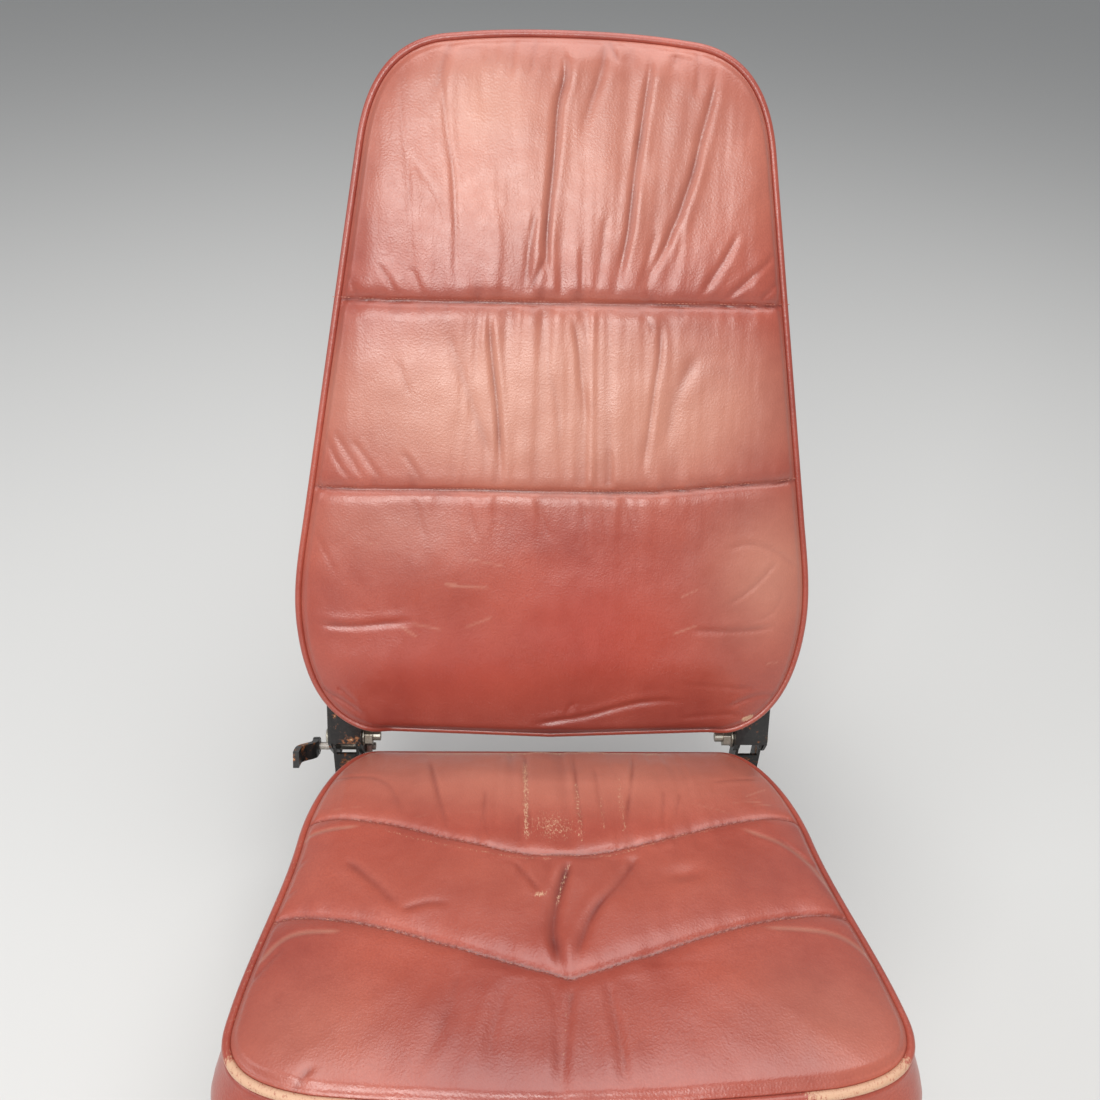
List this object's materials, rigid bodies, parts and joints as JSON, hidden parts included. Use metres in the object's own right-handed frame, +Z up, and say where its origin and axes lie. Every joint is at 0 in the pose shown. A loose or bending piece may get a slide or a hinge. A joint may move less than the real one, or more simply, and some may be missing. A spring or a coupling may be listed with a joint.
{
  "type": "high-back sports car seat",
  "caption": "High-backed leather car seat with a reclining three-panel back, a V-seamed cushion, a clamp lever on the left hinge and sliding floor rails.",
  "frame": {"origin": "on the floor, under the middle of the seat's overall box", "axes": "+X to the right as the seat is seen from the front, +Y towards its back, +Z up; the seat faces -Y"},
  "size_m": [0.5151, 0.7307, 0.8378],
  "materials": {
    "leather": "satin",
    "piping": "satin",
    "foam": "matte",
    "webbing": "matte",
    "frame_paint": "satin",
    "hinge_paint": "satin",
    "steel": "satin",
    "zinc": "satin",
    "nylon": "matte",
    "bush_bronze": "satin",
    "rear_vinyl": "matte",
    "grip_plastic": "matte"
  },
  "bodies": {
    "rails": {"lower_rail_left": "frame_paint", "lower_rail_right": "frame_paint"},
    "seat_base": {"upper_rail_left": "zinc", "upper_rail_right": "zinc", "runner_slide_left": "nylon", "runner_slide_right": "nylon", "runner_bolt_front_left": "zinc", "runner_bolt_front_right": "zinc", "runner_bolt_rear_left": "zinc", "runner_bolt_rear_right": "zinc", "side_plate_left": "frame_paint", "side_plate_right": "frame_paint", "front_cross_tube": "frame_paint", "rear_cross_tube": "frame_paint", "hinge_post_left": "hinge_paint", "hinge_post_right": "hinge_paint", "pivot_bush_left": "bush_bronze", "pivot_bush_right": "bush_bronze", "post_bolt_lower_left": "zinc", "post_bolt_lower_right": "zinc", "post_bolt_upper_left": "zinc", "post_bolt_upper_right": "zinc", "catch_spring": "steel", "cushion_strap_1": "webbing", "cushion_strap_2": "webbing", "cushion_strap_3": "webbing", "cushion_strap_4": "webbing", "cushion_foam": "foam", "cushion_panel_rear": "leather", "cushion_panel_middle": "leather", "cushion_panel_front": "leather", "cushion_boxing": "leather", "cushion_piping": "piping"},
    "catch": {"catch_bar": "zinc", "catch_grip": "grip_plastic"},
    "backrest": {"hinge_block_left": "hinge_paint", "hinge_block_right": "hinge_paint", "pivot_bolt_left": "steel", "pivot_bolt_right": "steel", "pivot_washer_left": "steel", "pivot_washer_right": "steel", "pivot_nut_left": "steel", "pivot_nut_right": "steel", "clamp_nut": "steel", "back_side_tube_left": "frame_paint", "back_side_tube_right": "frame_paint", "back_lower_cross_tube": "frame_paint", "back_middle_cross_tube": "frame_paint", "back_top_tube": "frame_paint", "back_strap_1": "webbing", "back_strap_2": "webbing", "back_foam": "foam", "back_panel_lower": "leather", "back_panel_middle": "leather", "back_panel_upper": "leather", "back_boxing": "leather", "back_piping": "piping", "back_rear_panel": "rear_vinyl"},
    "clamp": {"clamp_shaft": "steel", "clamp_lever": "hinge_paint"}
  },
  "joints": [
    {"name": "seat_slide", "type": "slide", "parent": "rails", "child": "seat_base", "axis": [0, 1, 0], "range_m": [-0.08, 0.08]},
    {"name": "back_recline", "type": "hinge", "parent": "seat_base", "child": "backrest", "pos_m": [0, 0.10002, 0.201], "axis": [1, 0, 0], "range_deg": [-30, 30]},
    {"name": "clamp_turn", "type": "hinge", "parent": "backrest", "child": "clamp", "pos_m": [-0.244, 0.12014, 0.1647], "axis": [-1, 0, 0], "range_deg": [0, 45]},
    {"name": "slide_catch", "type": "hinge", "parent": "seat_base", "child": "catch", "pos_m": [0, -0.12, 0.048], "axis": [-1, 0, 0], "range_deg": [0, 12], "stiffness_Nm_per_rad": 6, "springref_deg": -14.32}
  ]
}
